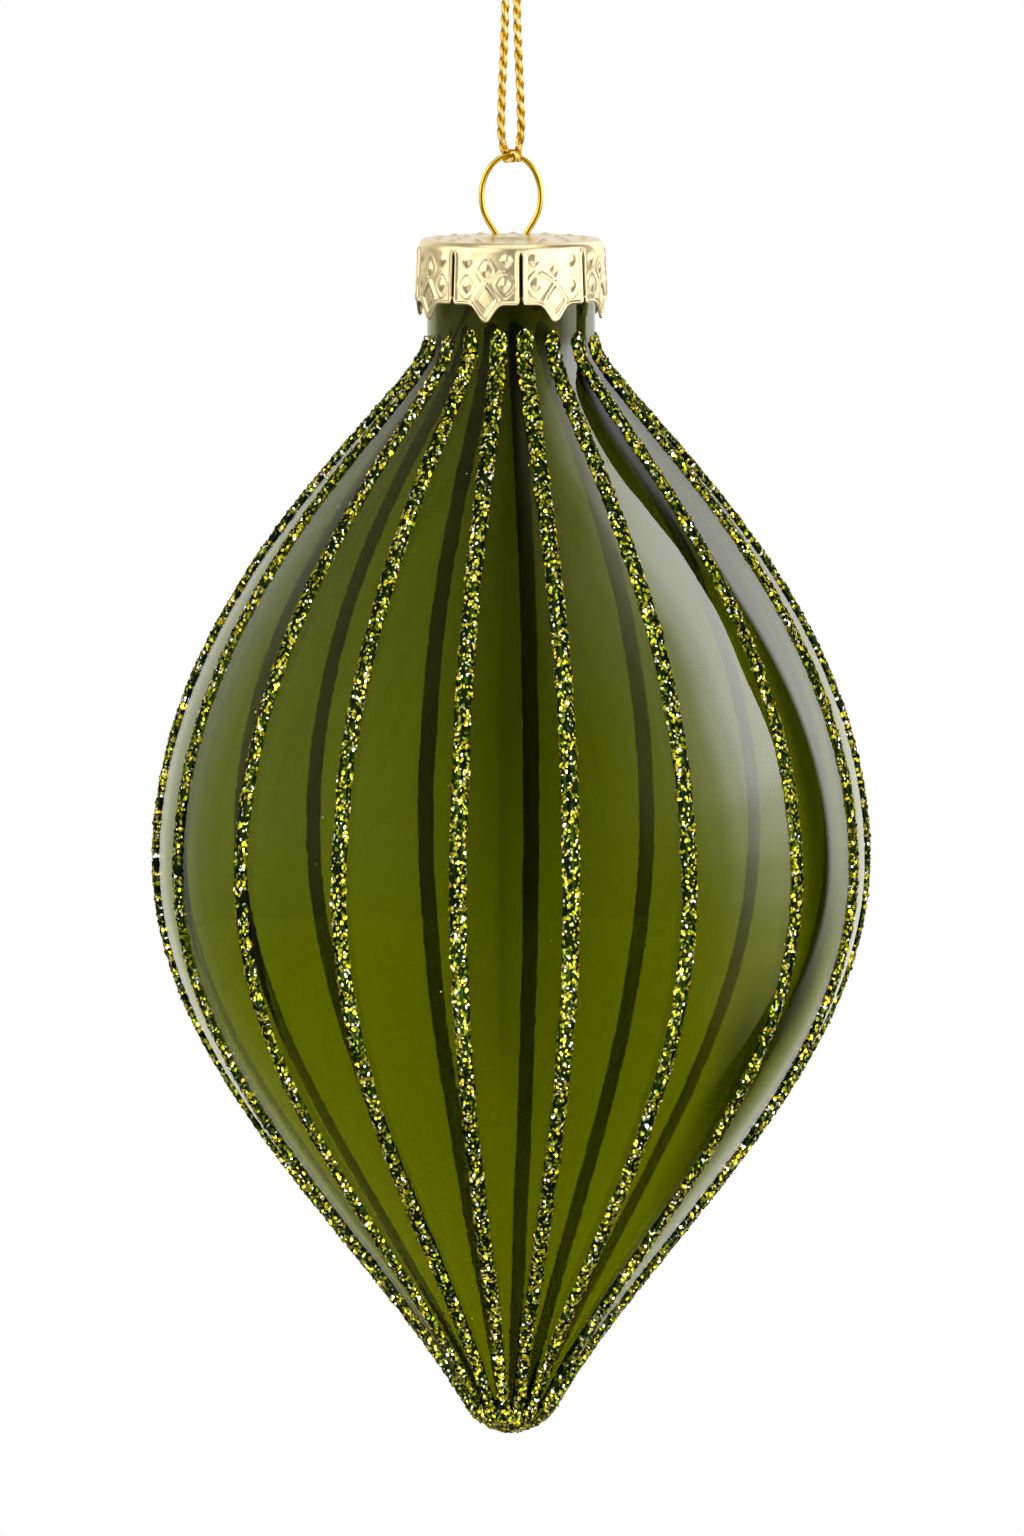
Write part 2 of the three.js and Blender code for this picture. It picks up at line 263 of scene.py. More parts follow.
cord = {
    "diameter": 0.9,
    "ply": 0.385,  # radius of one ply and its place beside the middle, as shares of the diameter
    "plyOffset": 0.165,
    "pitch": 3.15,
    "route": [
        (0.92, -28.3), (1.08, -27.3), (1.12, -25.8), (1.06, -23.8), (0.98, -21.6), (0.88, -19.4),
        (0.79, -17.2), (0.71, -15), (0.65, -12.8), (0.61, -10.6), (0.6, -8.6), (0.64, -6.8),
        (0.93, -5.1), (1.55, -3.9), (2.15, -3.15), (2.44, -2.1), (2.24, -1.05), (1.7, -0.25),
        (1.08, 0.75), (0.66, 2), (0.6, 3.1),
    ],
    "startTurn": 0.9,  # radians by which the ply of the two strands starts turned, to either side
    "ringTop": -29.67,
    "hitchDiameter": 0.6,
    "hitchPitch": 0.8,  # as a share of the strands' pitch
    "sides": 20,
    "step": 0.11,
    # one side's end, behind the ring, up its front and over it, to the other side's end
    "hitch": [
        (-0.9, 0.05, 0.75), (-0.86, 0.3, 0.35), (-0.78, 0.56, -0.05), (-0.68, 0.42, -0.46),
        (-0.62, 0.02, -0.58), (-0.5, -0.4, -0.54), (-0.18, -0.5, -0.5), (0.16, -0.52, -0.5),
        (0.42, -0.56, -0.34), (0.48, -0.6, -0.02), (0.46, -0.54, 0.28), (0.24, -0.46, 0.42),
        (-0.1, -0.42, 0.42), (-0.4, -0.34, 0.42), (-0.5, 0.02, 0.52), (-0.3, 0.42, 0.38),
        (0.15, 0.58, 0.05), (0.6, 0.48, -0.36), (0.82, 0.02, -0.54), (0.9, -0.42, -0.36),
        (0.9, -0.56, 0.02), (0.92, -0.38, 0.42), (0.92, -0.08, 0.85),
    ],
    # the strands' own ends run on down into the hitch, a little thinner
    "stubFoot": 0.5,
    "stubPlaces": (0.8, 0.86),
    "stubSize": 0.97,
    "knotSize": 0.98,
    "knotRadius": 1.02,
    "knotFoot": 3.85,
    "knotTop": 5.75,
    "knotTurns": 1.25,
    # each tail above the knot: share of x and y, how much higher and a step outwards
    "tail": [(0.8, 0.8, 0.62, 0), (0.9, 0.7, 1.3, 0), (1.3, 0.8, 2.2, 0.1), (1.9, 1, 3.4, 0.15)],
    # painted shade in the grooves between the plies, 0, up to a painted highlight on their crests, 1
    "colours": [
        (0.1, (0.18, 0.07, 0.001)), (0.4, (0.55, 0.29, 0.012)), (0.8, (0.74, 0.43, 0.03)),
        (1, (0.9, 0.72, 0.3)),
    ],
    "speckle": 0.9,
    "relief": (0.9, 0.00006),  # strength, and depth in metres
}


def makeThreadMaterial():
    material, tree, shader, place = newMaterial("goldThread", Metallic=0.75, Roughness=0.3)
    along = addNode(tree, "ShaderNodeMapping", {"Vector": place, "Scale": (1, 1, 0.28)}).outputs[0]
    fine = speckled(tree, along, 5200, 2)
    both = calculated(tree, "ADD", fine, speckled(tree, along, 1500, 1))
    uneven = calculated(tree, "MULTIPLY_ADD", both, cord["speckle"], -cord["speckle"])
    # painted shade in the grooves and a painted highlight on the crests, from how near to a crest each
    # place is
    crest = attribute(tree, "crest")
    colour = ramp(tree, calculated(tree, "ADD", crest, uneven), cord["colours"])
    dress(tree, shader, colour, fine, *cord["relief"])
    return material


def twistedPly(diameter, pitch, length, phase):
    # Two plies twisted together: their radius, and how near to a crest a place on them is
    ply, offset = cord["ply"] * diameter, cord["plyOffset"] * diameter

    def shape(share, angle):
        turned = angle + 2 * math.pi * share * length / pitch - phase
        across, crest = offset * math.sin(turned), abs(math.cos(turned))
        return offset * crest + math.sqrt(ply * ply - across * across), crest

    return shape


def pathLength(path):
    return sum((b - a).length for a, b in zip(path, path[1:]))


def addCord(bm, points, diameter, pitch, phase=0.0):
    path = smoothPath(points, cord["step"] * mm)
    layer = bm.verts.layers.float.get("crest") or bm.verts.layers.float.new("crest")
    addTube(bm, path, cord["sides"], twistedPly(diameter, pitch, pathLength(path), phase), layer)


def knotPath(side):
    # From a strand's upper end, round the knot and up along its tail
    foot, top, turns = cord["knotFoot"], cord["knotTop"], cord["knotTurns"]
    x, z = cord["route"][-1]
    points = [(x * side, 0, z), ((x + 0.06) * side, -0.02, z + 0.3)]
    steps = round(turns * 12)
    for i in range(steps + 1):
        angle = math.radians(0 if side > 0 else 180) + 2 * math.pi * turns * i / steps
        height = foot + (top - foot) * i / steps
        points.append((cord["knotRadius"] * math.cos(angle), cord["knotRadius"] * math.sin(angle), height))
    lean = Vector(points[-1]) * 0.5
    for shareX, shareY, rise, out in cord["tail"]:
        points.append((lean.x * shareX + out * side, lean.y * shareY, top + rise))
    return [Vector(p) * mm for p in points]


def makeCord():
    thread = makeThreadMaterial()
    diameter, pitch = cord["diameter"] * mm, cord["pitch"] * mm
    ringTop = Vector((0, 0, cord["ringTop"]))

    bm = bmesh.new()
    hitchPoints = [(Vector(p) + ringTop) * mm for p in cord["hitch"]]
    addCord(bm, hitchPoints, cord["hitchDiameter"] * mm, pitch * cord["hitchPitch"])
    foot, (topX, top) = ringTop.z + cord["stubFoot"], cord["route"][0]
    end = top + 0.05
    lowX, middleX = cord["stubPlaces"]
    for side in (-1, 1):
        stub = [Vector((side * x, y, z)) * mm for x, y, z in (
            (lowX, 0.02, foot), (middleX, 0, (foot + top) / 2), (topX, 0, end),
        )]
        turned = 2 * math.pi * (end - foot) * mm / pitch
        addCord(bm, stub, diameter * cord["stubSize"], pitch, cord["startTurn"] * side + turned)
    hitch = newObject("cordHitch", bm, thread)
    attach(hitch, "hitch")
    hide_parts("cord_hitch")

    bm = bmesh.new()
    for side in (-1, 1):
        addCord(bm, knotPath(side), diameter * cord["knotSize"], pitch)
    knot = newObject("cordKnot", bm, thread)
    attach(knot, "cord")
    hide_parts("cord_knot")

    for side, name, piece in ((-1, "left", knot), (1, "right", hitch)):
        route = [Vector((x * side, 0, z)) * mm for x, z in cord["route"]]
        bm = bmesh.new()
        addCord(bm, route, diameter, pitch, cord["startTurn"] * side)
        strand = newObject("cordStrand" + name.capitalize(), bm, thread)
        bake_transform(strand)
        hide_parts("cord_strand_" + name)
    print("cord made")


# Glass: a blown teardrop shell, open at the neck

glass = {
    "neckRadius": 9.45,
    "rim": -39.65,
    "flare": -50.55,
    "flareHandle": 5.4,
    "bellyRadius": 40,
    "belly": -108.95,
    "upperHandle": 31.5,
    "lowerHandle": 24,
    "taperHandle": 22.2,
    "taperAngle": 30,
    "tipRadius": 5.5,
    "tip": -173.85,
    "wall": 0.9,
    "lip": 0.12,  # how far the rim is rounded up
    "segments": 160,
    "rowStep": 1.1,
    # tint from the lower of two heights, 0, to the upper, 1
    "tintHeights": (-0.174, -0.04),
    "colours": [
        (0, (0.32, 0.35, 0.006)), (0.2, (0.32, 0.352, 0.006)), (0.5, (0.302, 0.34, 0.007)),
        (0.8, (0.24, 0.27, 0.02)), (0.93, (0.17, 0.18, 0.035)), (1, (0.1, 0.105, 0.03)),
    ],
    # painted dark reflections in the wall, for the dark surroundings that the glass mirrors and bends:
    # level by azimuth in degrees, and how much shows by height
    "paintedDarkReflections": [
        {  # the dark middle, and fainter ones round the sides
            "levels": [
                (-150, 1), (-140, 0.86), (-128, 1), (-75, 1), (-66, 0.9), (-55, 1), (-18, 0.98),
                (-6, 0.56), (1, 0.43), (6, 0.5), (14, 0.75), (24, 0.94), (95, 0.96), (105, 0.83),
                (118, 0.96), (180, 1),
            ],
            "shown": [(0, 0), (0.08, 0.1), (0.28, 0.3), (0.45, 0.6), (0.62, 1)],
        },
        {  # a narrow one on the right
            "levels": [(54.5, 1), (57, 0.5), (60, 0.32), (63, 0.5), (66, 1)],
            "shown": [(0.32, 0), (0.38, 1), (0.75, 1), (0.85, 0.3)],
        },
        {  # low on the right
            "levels": [
                (39, 1), (43, 0.62), (46, 0.28), (51, 0.25), (54, 0.35), (58, 0.55), (62, 0.85), (66, 1),
            ],
            "shown": [
                (0.12, 0), (0.2, 0.3), (0.24, 0.6), (0.28, 0.85), (0.31, 1), (0.36, 1), (0.42, 0),
            ],
        },
        {  # high on the right, where it leans back by some degrees between two heights
            "levels": [(31, 1), (36, 0.5), (40, 0.36), (45, 0.36), (50, 0.6), (56, 1)],
            "shown": [(0.68, 0), (0.78, 0.8), (0.86, 1), (0.93, 1), (1, 0.3)],
            "lean": (-0.058, -0.082, -8),
        },
        {  # fine lines in the middle
            "levels": [
                (-2.35, 1), (-2.15, 0.74), (-1.95, 1), (-1.6, 1), (-1.4, 0.72), (-1.2, 0.97),
                (-0.75, 0.9), (-0.4, 0.5), (-0.05, 0.86), (0.2, 0.8), (0.4, 0.68), (0.65, 0.96),
                (1, 0.94), (1.25, 0.72), (1.45, 0.94), (1.65, 0.78), (1.85, 1),
            ],
            "shown": [(0.344, 0), (0.35, 0.5), (0.45, 1), (0.6, 0.9), (0.75, 0)],
        },
    ],
    "cloud": [(0.3, 0.9), (0.7, 1.06)],  # slightly lighter and darker places
    "relief": (0.25, 0.002),
}


def bezier(a, b, c, d, count):
    points = []
    for i in range(count):
        t = i / count
        points.append(a * (1 - t) ** 3 + b * 3 * t * (1 - t) ** 2 + c * 3 * t * t * (1 - t) + d * t ** 3)
    return points


def denseOutline():
    # Radius and height from the rim down to the tip, in millimetres
    g = glass
    slope, radius = math.radians(g["taperAngle"]), g["tipRadius"]
    middle = g["tip"] + radius
    arcStart = Vector((radius * math.cos(slope), middle - radius * math.sin(slope)))
    shoulder = Vector((g["neckRadius"], g["flare"]))
    belly = Vector((g["bellyRadius"], g["belly"]))
    points = [Vector((g["neckRadius"], g["rim"] + (g["flare"] - g["rim"]) * i / 40)) for i in range(40)]
    points += bezier(
        shoulder, shoulder - Vector((0, g["flareHandle"])),
        belly + Vector((0, g["upperHandle"])), belly, 300,
    )
    points += bezier(
        belly, belly - Vector((0, g["lowerHandle"])),
        arcStart + Vector((math.sin(slope), math.cos(slope))) * g["taperHandle"], arcStart, 300,
    )
    for i in range(61):
        angle = -slope - (math.pi / 2 - slope) * i / 60
        points.append(Vector((radius * math.cos(angle), middle + radius * math.sin(angle))))
    points[-1].x = 0
    return points


outline = denseOutline()
outlineDepth = [0.0]
for a, b in zip(outline, outline[1:]):
    outlineDepth.append(outlineDepth[-1] + (b - a).length)
outlineLength = outlineDepth[-1]


def onOutline(distance):
    # Point on the outline and outward normal there, at a distance from the rim
    low, high = 0, len(outline) - 1
    while high - low > 1:
        middle = (low + high) // 2
        if outlineDepth[middle] <= distance:
            low = middle
        else:
            high = middle
    share = (distance - outlineDepth[low]) / (outlineDepth[high] - outlineDepth[low])
    point = outline[low].lerp(outline[high], share)
    before, after = outline[max(low - 1, 0)], outline[min(high + 1, len(outline) - 1)]
    down = (after - before).normalized()
    return point, Vector((-down.y, down.x))


def outlineAt(height):
    # Distance from the rim at which the outline passes a height
    for distance, point in zip(outlineDepth, outline):
        if point.y <= height:
            return distance
    return outlineLength


def makeGlassMaterial():
    material, tree, shader, place = newMaterial(
        "greenGlass", Roughness=0.0, IOR=1.5, Transmission_Weight=1.0,
    )
    parts = partsOf(tree, place)
    share = mapped(tree, parts["Z"], *glass["tintHeights"])
    colour = ramp(tree, share, glass["colours"])
    straight = turnShare(tree, parts)
    # painted dark reflections, laid into the tint by azimuth and height
    for darkReflection in glass["paintedDarkReflections"]:
        turn = straight
        if "lean" in darkReflection:
            upper, lower, degrees = darkReflection["lean"]
            turn = calculated(tree, "ADD", turn, mapped(tree, parts["Z"], upper, lower, 0.0, degrees / 360))
        levels = [((azimuth + 180) / 360, level) for azimuth, level in darkReflection["levels"]]
        shown = ramp(tree, share, darkReflection["shown"])
        faded = mixed(tree, shown, (1, 1, 1, 1), ramp(tree, turn, levels))
        colour = mixed(tree, 1, colour, faded, "MULTIPLY")
    flow = addNode(tree, "ShaderNodeMapping", {"Vector": place, "Scale": (1, 1, 0.12)}).outputs[0]
    cloud = ramp(tree, speckled(tree, flow, 45, 3), glass["cloud"])
    colour = mixed(tree, 1, colour, cloud, "MULTIPLY")
    dress(tree, shader, colour, speckled(tree, flow, 26, 1), *glass["relief"])
    return material


def makeGlass():
    rows = round(outlineLength / glass["rowStep"])
    outer, inner = [], []
    for i in range(rows + 1):
        point, out = onOutline(outlineLength * i / rows)
        outer.append(point)
        inner.append(Vector((max(point.x - out.x * glass["wall"], 0), point.y - out.y * glass["wall"])))
    outer[-1].x = inner[-1].x = 0
    lip = (outer[0] + inner[0]) / 2 + Vector((0, glass["lip"]))
    bm = bmesh.new()
    spinRound(bm, outer[::-1] + [lip] + inner, glass["segments"], 1e-6)
    if bm.calc_volume(signed=True) < 0:
        bmesh.ops.reverse_faces(bm, faces=bm.faces)
    shell = newObject("glassShell", bm, makeGlassMaterial())
    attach(shell, "glass")
    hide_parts("glass_body")
    print("glass made")
    return shell


# Glitter: hand-laid lines of glue with coarse flakes, which run together over the tip

glitter = {
    # azimuth in degrees from the front, and how much lower the line starts
    "lines": [
        (-86, 1), (-68.6, 0.8), (-48.5, 0.7), (-28.4, 0.2), (-8.4, 0), (9.6, 0), (29.5, 0.2),
        (52.5, 0.3), (73.5, 0.9), (90, 0.7), (112, 0.5), (134.8, 0.3), (156.6, 0.2), (176.6, 0.1),
        (194.5, 0.3), (215.4, 0.5), (232.6, 0.7), (253.5, 0.9),
    ],
    "top": -48.5,
    "topSpread": 1.5,
    "widths": [(-48, 1.75), (-60, 1.75), (-108, 1.85), (-150, 1.6), (-162, 1.45), (-171, 1.2)],
    "height": 0.5,
    "foot": 0.06,  # how deep the glue beds on the glass
    "uneven": 0.11,
    "sway": (0.1, 0.07),  # slow and quick
    "topRound": 0.95,
    "endFade": 1.5,
    "endRadius": 2.6,
    "beadStep": 0.7,
    "beadSides": 12,
    "flakesPerLine": 3300,
    "strays": 5,
    "strayPlace": (1.2, 3.2),  # how far beside the line
    "strayEnds": (4, 12),  # how far from its upper and lower end
    "straySize": 0.45,
    "flakeLift": 0.06,
    "flakeRadius": (0.13, 0.27),
    "flakeWidth": (0.6, 0.9),  # as shares of the radius
    "flakeLength": (0.95, 1.45),
    "tilt": 0.264,
    "spin": 0.5,
    # the flakes' colours and how common each is: gold and greens of their own, near-white ones that are
    # painted glints and near-black ones that are painted shade
    "colours": [
        ((0.46, 0.41, 0.02), 0.25), ((0.6, 0.46, 0.05), 0.14), ((0.19, 0.24, 0.008), 0.16),
        ((1, 0.98, 0.8), 0.15), ((0.006, 0.016, 0.006), 0.2), ((0.02, 0.034, 0.003), 0.14),
    ],
    "fade": (0.75, 1.2),
    # the pale flakes are painted glints
    "glintBlue": 0.5,  # flakes with more blue than this are pale ones, which are smaller
    "glintSize": 0.78,
    "glueColour": (0.005, 0.013, 0.001, 1),
    "speckle": [(0.35, 0.7), (0.65, 1.2)],
    "relief": (0.3, 0.00003),
    "tipFlakes": 1500,
    "tipStart": 5.6,  # how far up the lines have run together
    "tipReach": 1.02,  # how far up the flakes go, as a share of that
    "tipHeight": 0.42,
    "tipLumps": 0.16,
    "tipRows": 14,
    "tipSegments": 48,
}


def makeGlitterMaterial():
    material, tree, shader, place = newMaterial(
        "glitterFlakes", Metallic=0.8, Roughness=0.2, Specular_IOR_Level=0.15,
        Specular_Tint=(0.5, 0.5, 0.15, 1),
    )
    # the flakes' own colours, with painted glints and painted shade among them
    flake = attribute(tree, "flakeColourAndPaintedLight", "Color")
    speck = speckled(tree, place, 3200, 1)
    colour = mixed(tree, 1, flake, ramp(tree, speck, glitter["speckle"]), "MULTIPLY")
    dress(tree, shader, colour, speck, *glitter["relief"])
    return material


def pickColour(dice):
    colours, shares = zip(*glitter["colours"])
    colour = dice.choices(colours, shares)[0]
    fade = dice.uniform(*glitter["fade"])
    return (*[min(1, channel * fade) for channel in colour], 1)


def addFlakes(bm, layer, count, dice, placeOne, scale=1.0):
    # Copies one six-sided flake until there are enough, then lays each in its place
    flakes = bmesh.ops.create_circle(bm, cap_ends=True, radius=1, segments=6)["verts"][0].link_faces[:]
    while len(flakes) < count:
        some = flakes[:count - len(flakes)]
        parts = some + [e for f in some for e in f.edges] + [v for f in some for v in f.verts]
        made = bmesh.ops.duplicate(bm, geom=parts)["geom"]
        flakes += [g for g in made if isinstance(g, bmesh.types.BMFace)]
    for flake in flakes:
        place, normal = placeOne()
        loose = Vector((dice.gauss(0, 1), dice.gauss(0, 1), dice.gauss(0, 1))) * glitter["tilt"]
        turn = (normal + loose).to_track_quat("Z", "Y").to_matrix().to_4x4()
        spun = Matrix.Rotation(dice.gauss(0, glitter["spin"]), 4, "Z")
        colour = pickColour(dice)
        radius = dice.uniform(*glitter["flakeRadius"]) * mm * scale
        # the pale flakes, painted glints, are made smaller
        if colour[2] > glitter["glintBlue"]:
            radius *= glitter["glintSize"]
        width = radius * dice.uniform(*glitter["flakeWidth"])
        size = Matrix.Diagonal((width, radius * dice.uniform(*glitter["flakeLength"]), 1, 1))
        lay = Matrix.Translation(place) @ turn @ spun @ size
        for vertex in flake.verts:
            vertex.co = lay @ vertex.co
            vertex[layer] = colour


def meridian(azimuth):
    # Directions out from the axis and level along the surface
    turn = math.radians(azimuth)
    return Vector((math.sin(turn), -math.cos(turn), 0)), Vector((math.cos(turn), math.sin(turn), 0))


def inSpace(pair, radial):
    return radial * pair.x + Vector((0, 0, pair.y))


def lineWidth(height):
    stops = glitter["widths"]
    for (upper, a), (lower, b) in zip(stops, stops[1:]):
        if height > lower:
            return a + (b - a) * min(max((upper - height) / (upper - lower), 0), 1)
    return stops[-1][1]


def beadSize(distance, start, end, seed):
    # Half width and height of the glue bead, with a round top end and slightly uneven sides
    point = onOutline(distance)[0]
    uneven = 1 + glitter["uneven"] * noise.noise(Vector((distance * 0.8, seed * 7.3, 0)))
    rounding = min(max((distance - start) / glitter["topRound"], 0), 1)
    rounding = math.sqrt(1 - (1 - rounding) ** 2)
    fade = min(max((end - distance) / glitter["endFade"], 0), 1) ** 0.5
    half = lineWidth(point.y) / 2 * uneven * max(rounding, 0.05)
    return half, glitter["height"] * uneven * max(min(rounding, fade), 0.05)


def makeGlitterLine(number, azimuth, share, material):
    dice = random.Random(100 + number)
    radial, across = meridian(azimuth)
    start = outlineAt(glitter["top"] - glitter["topSpread"] * share)
    end = outlineLength - glitter["endRadius"]
    steps = round((end - start) / glitter["beadStep"])

    def sway(distance):
        slow = noise.noise(Vector((distance * 0.11, number * 3.1, 5)))
        quick = noise.noise(Vector((distance * 0.7, number * 1.7, 9)))
        return glitter["sway"][0] * slow + glitter["sway"][1] * quick

    bm = bmesh.new()
    layer = bm.verts.layers.float_color.new("flakeColourAndPaintedLight")
    sides = glitter["beadSides"]
    bead = bmesh.ops.create_grid(bm, x_segments=steps, y_segments=sides, size=0.5)
    for vertex in bead["verts"]:
        distance = start + (end - start) * (vertex.co.x + 0.5)
        angle = 2 * math.pi * round((vertex.co.y + 0.5) * sides) / sides
        point, out = onOutline(distance)
        half, height = beadSize(distance, start, end, number)
        lift = math.sin(angle) * (height if math.sin(angle) > 0 else glitter["foot"])
        place = inSpace(point + out * lift, radial)
        vertex.co = (place + across * (half * math.cos(angle) + sway(distance))) * mm
        vertex[layer] = glitter["glueColour"]
    closeTube(bm, bead["verts"])

    def placeOne():
        distance = dice.uniform(start - 0.05, end)
        angle = math.radians(dice.uniform(-90, 90))
        point, out = onOutline(distance)
        half, height = beadSize(distance, start, end, number)
        side, rise = math.sin(angle), max(math.cos(angle), 0.02)
        place = inSpace(point + out * (height * rise), radial) + across * (half * side + sway(distance))
        normal = inSpace(out, radial) * (rise / height) + across * (side / half)
        normal.normalize()
        return (place + normal * dice.uniform(0, glitter["flakeLift"])) * mm, normal

    def placeStray():
        # a few specks beside the line, flat on the glass
        distance = dice.uniform(start + glitter["strayEnds"][0], end - glitter["strayEnds"][1])
        point, out = onOutline(distance)
        off = dice.choice((-1, 1)) * dice.uniform(*glitter["strayPlace"])
        place = inSpace(point + out * 0.05, radial) + across * off - radial * off * off / 2 / point.x
        return place * mm, inSpace(out, radial)

    addFlakes(bm, layer, glitter["flakesPerLine"], dice, placeOne)
    addFlakes(bm, layer, glitter["strays"], dice, placeStray, glitter["straySize"])
    line = newObject(f"glitterLine{number:02d}", bm, material)
    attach(line, "glass")
    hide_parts(f"glitter_line_{number:02d}")


def makeGlitterTip(material):
    dice = random.Random(99)
    bm = bmesh.new()
    layer = bm.verts.layers.float_color.new("flakeColourAndPaintedLight")
    start = outlineLength - glitter["tipStart"]
    profile = []
    for i in range(glitter["tipRows"] + 1):
        distance = start + (outlineLength - start) * i / glitter["tipRows"]
        point, out = onOutline(distance)
        profile.append(point + out * glitter["tipHeight"] * min(1, i / 4) ** 0.5)
    profile[-1].x = 0
    spinRound(bm, profile, glitter["tipSegments"], 1e-7)
    bmesh.ops.recalc_face_normals(bm, faces=bm.faces)
    for vertex in bm.verts:
        vertex[layer] = glitter["glueColour"]

    def placeOne():
        reach = dice.random() ** 0.6
        distance = outlineLength - glitter["tipStart"] * glitter["tipReach"] * reach
        radial, across = meridian(dice.uniform(0, 360))
        point, out = onOutline(distance)
        bumpy = noise.noise(Vector((radial.x * 2, radial.y * 2, distance)))
        lump = glitter["tipHeight"] + glitter["tipLumps"] * bumpy
        lump *= min(1, (glitter["tipReach"] - reach) * 4 + 0.3)
        return inSpace(point + out * lump, radial) * mm, inSpace(out, radial)

    addFlakes(bm, layer, glitter["tipFlakes"], dice, placeOne)
    cover = newObject("glitterTipCover", bm, material)
    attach(cover, "glass")
    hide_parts("glitter_tip")


def makeGlitter():
    material = makeGlitterMaterial()
    for number, (azimuth, share) in enumerate(glitter["lines"], 1):
        makeGlitterLine(number, azimuth, share, material)
    makeGlitterTip(material)
    print("glitter made")


# Cap: thin stamped metal with eight embossed petals, a flat top and a raised middle

cap = {
    "top": -39,
    "radius": 10.38,
    "sheet": 0.28,
    "petals": 8,
    "firstSlit": 6,
    "frontSqueeze": 0.028,  # radians by which the front petals are narrower than an eighth
    "slit": 0.27,
    "slitTop": -40,
    "slitEnd": 0.7,  # length over which the slit narrows, and by what share on either side
    "slitNarrowing": 0.42,
    "edge": -45.9,
    "point": -47.9,
    "pointBase": 1.62,
    "pointTip": 0.3,
    # how a petal's corners, the bends beside its point and the point are rounded
    "corner": 0.55,
    "bend": 0.3,
    "blunt": 0.35,
    "flare": 0.22,
    "columns": 58,
    "rows": 58,
    # a petal's pattern, from its middle and the cap's top: domes as x, z, half width, half height
    # and how tall they are, and ridges round three of them as x, z, half width and half height
    "domes": [
        (-2.3, -1.9, 0.88, 1.05, 0.2), (2.44, -1.85, 0.84, 1.05, 0.2), (0.05, -3.0, 0.78, 1.15, 0.22),
        (-2.28, -4.7, 0.82, 1.1, 0.2), (2.22, -4.55, 0.9, 1.15, 0.2),
    ],
    "domeRidges": [(0.02, -3.05, 1.08, 1.5), (-2.3, -4.75, 1.08, 1.4), (2.3, -4.6, 1.15, 1.4)],
    "domeRidge": (0.16, 0.055),  # this and those below are half width and height
    "stroke": [(0.35, -4.15), (1.7, -3.3)],
    "strokeRidge": (0.26, 0.18),
    "panel": (0, -6.35, 1.05, 1.42),
    "panelRidge": (0.28, 0.2),
    "panelEdges": (1.33, 0.94),  # where its ridge and its raised middle end, 1 on the diamond
    "panelHeight": 0.08,
    "slitRidge": (0.21, 0.26),
    "edgeRidge": (0.21, 0.18),
    # the top: its rounded edge, the step of its mesh, and rings of low diamonds as how many,
    # radius, half size and turn
    "shoulder": 0.7,
    "ringStep": 0.34,
    "topDiamonds": [(14, 8.3, 0.95, 0.2), (9, 5.9, 0.9, 0.5), (4, 2.4, 0.6, math.pi / 4)],
    "diamondHeight": 0.24,
    "bossRadius": 3.3,
    "bossHeight": 0.35,
    "bossEdge": 0.8,
    "holeNear": 1.1,
    "holeFar": 1.74,
    "holeRadius": 0.62,
    "colours": [(0.3, (0.837, 0.6885, 0.405)), (0.7, (0.93, 0.765, 0.45))],
    "topShade": 0.86,
    "relief": (0.12, 0.00002),
}

petalHalf = math.pi * cap["radius"] / cap["petals"] - cap["slit"] / 2


def smoothStep(value):
    value = min(max(value, 0), 1)
    return value * value * (3 - 2 * value)


def dome(distance, height):
    return height * smoothStep(1 - distance) if distance < 1 else 0


def ridge(distance, width, height):
    share = abs(distance) / width
    return height * math.sqrt(1 - share * share) if share < 1 else 0


def diamondDistance(x, z, centreX, centreZ, halfWidth, halfHeight, power=1.3):
    # 1 on a diamond's outline, with corners that the power rounds
    across, up = abs(x - centreX) / halfWidth, abs(z - centreZ) / halfHeight
    return (across ** power + up ** power) ** (1 / power)


def segmentDistance(x, z, a, b):
    a, b, p = Vector(a), Vector(b), Vector((x, z))
    share = min(max((p - a).dot(b - a) / (b - a).length_squared, 0), 1)
    return (p - a - (b - a) * share).length


def petalEdge(x):
    # Height of the petal's lower edge at a place across it
    corner, bend, blunt = cap["corner"], cap["bend"], cap["blunt"]
    edge = cap["edge"]
    fromSide = petalHalf - abs(x)
    if fromSide < corner:
        edge += corner - math.sqrt(corner ** 2 - (corner - fromSide) ** 2)
    limit = cap["edge"] - cap["point"]
    slope = limit / (cap["pointBase"] - cap["pointTip"])
    drop = (cap["pointBase"] - abs(x)) * slope
    if drop < 6 * bend:
        drop = bend * math.log1p(math.exp(drop / bend))
    if drop >= limit - blunt:
        drop = limit - blunt * math.exp(-(drop - limit + blunt) / blunt)
    return edge - drop


def petalRelief(x, z, mirror):
    # Height of the stamped pattern
    x *= mirror
    z0 = z - cap["top"]
    heights = [dome(diamondDistance(x, z0, *place, 1.38), tall) for *place, tall in cap["domes"]]
    for place in cap["domeRidges"]:
        heights.append(ridge((diamondDistance(x, z0, *place) - 1) * 0.9, *cap["domeRidge"]))
    heights.append(ridge(segmentDistance(x, z0, *cap["stroke"]), *cap["strokeRidge"]))
    panel = diamondDistance(x, z0, *cap["panel"], 1.08)
    outer, inner = cap["panelEdges"]
    heights.append(ridge((panel - outer) * 0.85, *cap["panelRidge"]))
    heights.append(cap["panelHeight"] * smoothStep((inner - panel) * 5))
    height = max(heights) * smoothStep((cap["slitTop"] + 0.1 - z) / 0.5)
    width, tall = cap["slitRidge"]
    besideSlit = ridge(petalHalf - abs(x) - width, width, tall)
    height = max(height, besideSlit * smoothStep((cap["slitTop"] + 0.35 - z) / 0.5))
    width, tall = cap["edgeRidge"]
    fromEdge = (z - petalEdge(x)) * (0.72 if abs(x) < cap["pointBase"] else 1)
    return max(height, ridge(fromEdge - width, width, tall))


